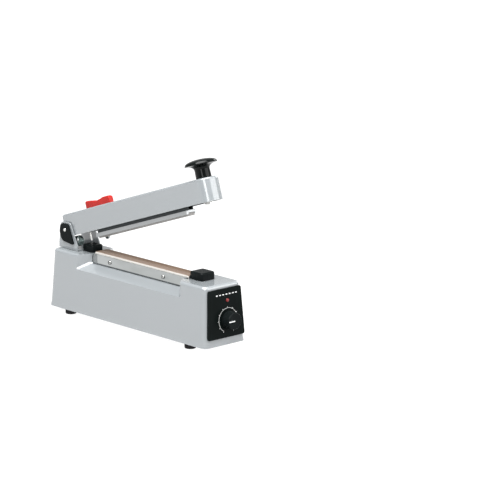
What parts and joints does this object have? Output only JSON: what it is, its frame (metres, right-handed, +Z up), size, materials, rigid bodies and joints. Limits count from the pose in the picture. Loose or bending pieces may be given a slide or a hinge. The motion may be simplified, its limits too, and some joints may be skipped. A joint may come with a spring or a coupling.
{
  "type": "impulse heat sealer",
  "caption": "Hand-operated impulse heat sealer: tapered metal casing, hinged press arm with sliding film cutter, heated sealing bar, timer dial and mushroom press knob.",
  "frame": {"origin": "on the table under the middle of the whole machine, feet at z = 0", "axes": "+Z up, -Y is the front with the timer dial, +Y is the hinge end, X across the machine, the side seen in the picture is -X"},
  "size_m": [0.0744, 0.3574, 0.253],
  "materials": {
    "paint": "glossy light grey powder coat",
    "black": "satin black",
    "panel": "glossy black",
    "knob": "glossy black",
    "rubber": "matte black",
    "red": "satin red",
    "ptfe": "tan PTFE coated glass cloth",
    "cloth": "woven glass tape",
    "silicone": "grey silicone",
    "aluminium": "satin extrusion",
    "stainless": "polished stainless sheet",
    "steel": "zinc plated sheet",
    "zinc": "bright zinc plated",
    "brass": "dull",
    "copper": "enamelled wire",
    "board": "circuit board",
    "lens": "unlit red lens",
    "white": "white inlay"
  },
  "bodies": {
    "base": {"body_casing": "paint", "hinge_bracket": "paint", "hinge_cap_left": "black", "hinge_cap_right": "black", "terminal_cover_front": "black", "terminal_cover_rear": "black", "microswitch": "black", "cord_gland": "black", "gland_nut": "black", "front_panel": "panel", "foot_front_left": "rubber", "foot_front_right": "rubber", "foot_rear_left": "rubber", "foot_rear_right": "rubber", "foot_screw_front_left": "zinc", "foot_screw_front_right": "zinc", "foot_screw_rear_left": "zinc", "foot_screw_rear_right": "zinc", "timer_nut": "zinc", "plate_screw_front_left": "zinc", "plate_screw_front_right": "zinc", "plate_screw_rear_left": "zinc", "plate_screw_rear_right": "zinc", "hinge_pin": "zinc", "spring_pin": "zinc", "base_plate": "steel", "bar_support_front": "steel", "bar_support_rear": "steel", "transformer_core": "steel", "transformer_frame": "steel", "return_spring": "steel", "seal_bar": "aluminium", "clamp_plate_left": "stainless", "clamp_plate_right": "stainless", "timer_potentiometer": "brass", "heating_element": "brass", "insulator_strip": "cloth", "ptfe_cover": "ptfe", "transformer_coil": "copper", "timer_board": "board", "indicator_lamp": "lens"},
    "arm": {"arm_cover": "paint", "press_bar": "aluminium", "silicone_strip": "silicone", "press_knob": "knob", "knob_bolt": "zinc", "knob_nut": "zinc", "knob_washer": "zinc", "arm_front_plate": "steel", "spring_seat": "steel", "switch_pusher": "zinc"},
    "cutter": {"cutter_handle": "red", "blade_holder": "black", "cutter_blade": "stainless"},
    "dial": {"timer_knob": "black", "timer_shaft": "zinc", "knob_pointer": "white"},
    "plunger": {"switch_plunger": "zinc"}
  },
  "joints": [
    {"name": "arm_hinge", "type": "hinge", "parent": "base", "child": "arm", "pos_m": [0, 0.143, 0.1157], "axis": [1, 0, 0], "range_deg": [0, 18.23], "stiffness_Nm_per_rad": 3, "springref_deg": -34.38, "deforming": ["return_spring"]},
    {"name": "cutter_slide", "type": "slide", "parent": "arm", "child": "cutter", "axis": [0, -0.9498, 0.3128], "range_m": [0, 0.186]},
    {"name": "timer_turn", "type": "hinge", "parent": "base", "child": "dial", "pos_m": [0.004, -0.16176, 0.04096], "axis": [0, 0.9983, -0.0574], "range_deg": [-60, 240]},
    {"name": "switch_press", "type": "slide", "parent": "base", "child": "plunger", "axis": [0, 0, 1], "range_m": [-0.002, 0], "stiffness_N_per_m": 300, "springref_m": 0.003}
  ]
}
